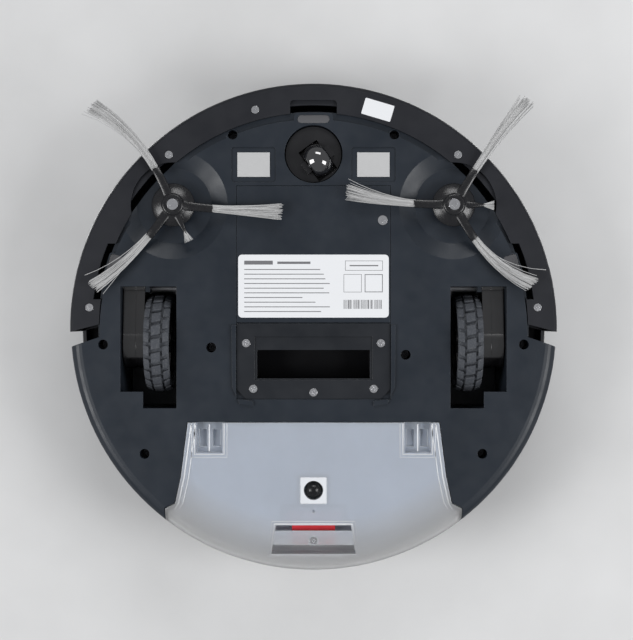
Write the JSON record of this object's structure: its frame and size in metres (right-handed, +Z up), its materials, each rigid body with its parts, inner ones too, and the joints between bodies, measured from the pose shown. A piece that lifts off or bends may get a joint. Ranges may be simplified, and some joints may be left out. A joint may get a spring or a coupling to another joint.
{
  "type": "robot vacuum",
  "caption": "Low round robot vacuum with a sprung front bumper, two side brushes, sprung drive wheels, a front caster, a suction inlet and a slide-out dust bin.",
  "frame": {"origin": "on the floor, at the centre of the round body", "axes": "+Z up, -Y towards the bumper (the driving direction), +X to the right when the underside is seen from below with the bumper at the top"},
  "size_m": [0.325, 0.325, 0.08],
  "materials": {
    "shell_plastic": "satin dark slate",
    "cover_plastic": "fine satin black",
    "top_gloss": "gloss black",
    "button_silver": "silver paint",
    "bumper_plastic": "satin black",
    "infrared_window": "dark smoked",
    "screw_steel": "zinc plated",
    "label_paper": "coated label",
    "spring_steel": "drawn wire",
    "black_plastic": "moulded",
    "sensor_window": "clear gloss",
    "contact_metal": "satin plated",
    "battery_wrap": "shrink-wrapped cells",
    "circuit_board": "solder mask",
    "inlet_plastic": "moulded",
    "motor_can": "motor can",
    "impeller_plastic": "moulded",
    "pin_steel": "ground",
    "caster_plastic": "moulded",
    "caster_gloss": "polished",
    "brush_rubber": "moulded rubber",
    "bristle_nylon": "nylon bristle",
    "gearbox_gloss": "gloss black",
    "hub_plastic": "moulded",
    "tyre_rubber": "moulded tread",
    "bin_frosted": "frosted translucent",
    "bin_smoke": "smoked",
    "filter_paper": "pleated",
    "socket_white": "moulded",
    "ball_rubber": "polished rubber",
    "latch_red": "moulded"
  },
  "bodies": {
    "chassis": {"bottom_shell": "shell_plastic", "top_cover": "cover_plastic", "top_panel": "top_gloss", "bumper_springs": "spring_steel", "bumper_switches": "black_plastic", "cliff_sensor_windows": "sensor_window", "charging_contacts": "contact_metal", "battery_cover": "shell_plastic", "rating_label": "label_paper", "battery_pack": "battery_wrap", "main_board": "circuit_board", "inlet_frame": "inlet_plastic", "underside_screws": "screw_steel", "air_duct": "black_plastic", "fan_housing": "black_plastic", "fan_motor": "motor_can", "exhaust_grilles": "black_plastic", "shell_screws": "screw_steel", "arm_pins": "pin_steel", "left_brush_motor": "black_plastic", "right_brush_motor": "black_plastic", "left_suspension_spring": "spring_steel", "right_suspension_spring": "spring_steel"},
    "power_button": {"power_button": "button_silver"},
    "home_button": {"home_button": "button_silver"},
    "bumper": {"bumper": "bumper_plastic", "bumper_lip": "bumper_plastic", "bumper_window": "infrared_window", "bumper_screws": "screw_steel", "bumper_label": "label_paper"},
    "fan": {"fan_impeller": "impeller_plastic"},
    "caster_swivel": {"caster_fork": "caster_plastic", "caster_axle": "pin_steel"},
    "caster_wheel": {"caster_wheel": "caster_gloss"},
    "dust_bin": {"dust_bin": "bin_frosted", "bin_lid": "bin_smoke", "bin_filter": "filter_paper", "socket_frame": "socket_white", "socket_ball": "ball_rubber", "bin_screw": "screw_steel", "latch_spring": "spring_steel"},
    "bin_latch": {"bin_latch": "latch_red"},
    "left_side_brush": {"left_brush": "brush_rubber", "left_bristles": "bristle_nylon", "left_brush_screw": "screw_steel"},
    "left_drive_arm": {"left_gear_case": "gearbox_gloss", "left_gear_cover": "gearbox_gloss", "left_drive_motor": "motor_can"},
    "left_wheel": {"left_wheel_hub": "hub_plastic", "left_tyre": "tyre_rubber", "left_wheel_axle": "pin_steel"},
    "right_side_brush": {"right_brush": "brush_rubber", "right_bristles": "bristle_nylon", "right_brush_screw": "screw_steel"},
    "right_drive_arm": {"right_gear_case": "gearbox_gloss", "right_gear_cover": "gearbox_gloss", "right_drive_motor": "motor_can"},
    "right_wheel": {"right_wheel_hub": "hub_plastic", "right_tyre": "tyre_rubber", "right_wheel_axle": "pin_steel"}
  },
  "joints": [
    {"name": "bumper_press", "type": "slide", "parent": "chassis", "child": "bumper", "axis": [0, 1, 0], "range_m": [0, 0.004], "stiffness_N_per_m": 600, "springref_m": -0.002, "deforming": ["bumper_springs"]},
    {"name": "fan_spin", "type": "hinge", "parent": "chassis", "child": "fan", "pos_m": [0, 0.018, 0.055], "axis": [0, 0, 1], "continuous": true},
    {"name": "caster_turn", "type": "hinge", "parent": "chassis", "child": "caster_swivel", "pos_m": [0, -0.115, 0.03], "axis": [0, 0, 1], "continuous": true},
    {"name": "caster_roll", "type": "hinge", "parent": "caster_swivel", "child": "caster_wheel", "pos_m": [0.00294, -0.11095, 0.011], "axis": [-0.809, 0.5878, 0], "continuous": true},
    {"name": "bin_pull", "type": "slide", "parent": "chassis", "child": "dust_bin", "axis": [0, 1, 0], "range_m": [0, 0.11]},
    {"name": "latch_press", "type": "slide", "parent": "dust_bin", "child": "bin_latch", "axis": [0, -1, 0], "range_m": [0, 0.0025], "stiffness_N_per_m": 400, "springref_m": -0.002, "deforming": ["latch_spring"]},
    {"name": "power_button_press", "type": "slide", "parent": "chassis", "child": "power_button", "axis": [0, 0, -1], "range_m": [0, 0.001], "stiffness_N_per_m": 1500, "springref_m": -0.0006},
    {"name": "home_button_press", "type": "slide", "parent": "chassis", "child": "home_button", "axis": [0, 0, -1], "range_m": [0, 0.001], "stiffness_N_per_m": 1500, "springref_m": -0.0006},
    {"name": "left_brush_spin", "type": "hinge", "parent": "chassis", "child": "left_side_brush", "pos_m": [-0.093, -0.081, 0.01], "axis": [0, 0, 1], "continuous": true, "deforming": ["left_bristles"]},
    {"name": "left_wheel_drop", "type": "hinge", "parent": "chassis", "child": "left_drive_arm", "pos_m": [-0.12, -0.027, 0.026], "axis": [-1, 0, 0], "range_deg": [0, 35], "stiffness_Nm_per_rad": 0.15, "springref_deg": 45.84, "deforming": ["left_suspension_spring"]},
    {"name": "left_wheel_spin", "type": "hinge", "parent": "left_drive_arm", "child": "left_wheel", "pos_m": [-0.104, 0.011, 0.033], "axis": [1, 0, 0], "continuous": true},
    {"name": "right_brush_spin", "type": "hinge", "parent": "chassis", "child": "right_side_brush", "pos_m": [0.093, -0.081, 0.01], "axis": [0, 0, 1], "continuous": true, "deforming": ["right_bristles"]},
    {"name": "right_wheel_drop", "type": "hinge", "parent": "chassis", "child": "right_drive_arm", "pos_m": [0.12, -0.027, 0.026], "axis": [-1, 0, 0], "range_deg": [0, 35], "stiffness_Nm_per_rad": 0.15, "springref_deg": 45.84, "deforming": ["right_suspension_spring"]},
    {"name": "right_wheel_spin", "type": "hinge", "parent": "right_drive_arm", "child": "right_wheel", "pos_m": [0.104, 0.011, 0.033], "axis": [1, 0, 0], "continuous": true}
  ]
}
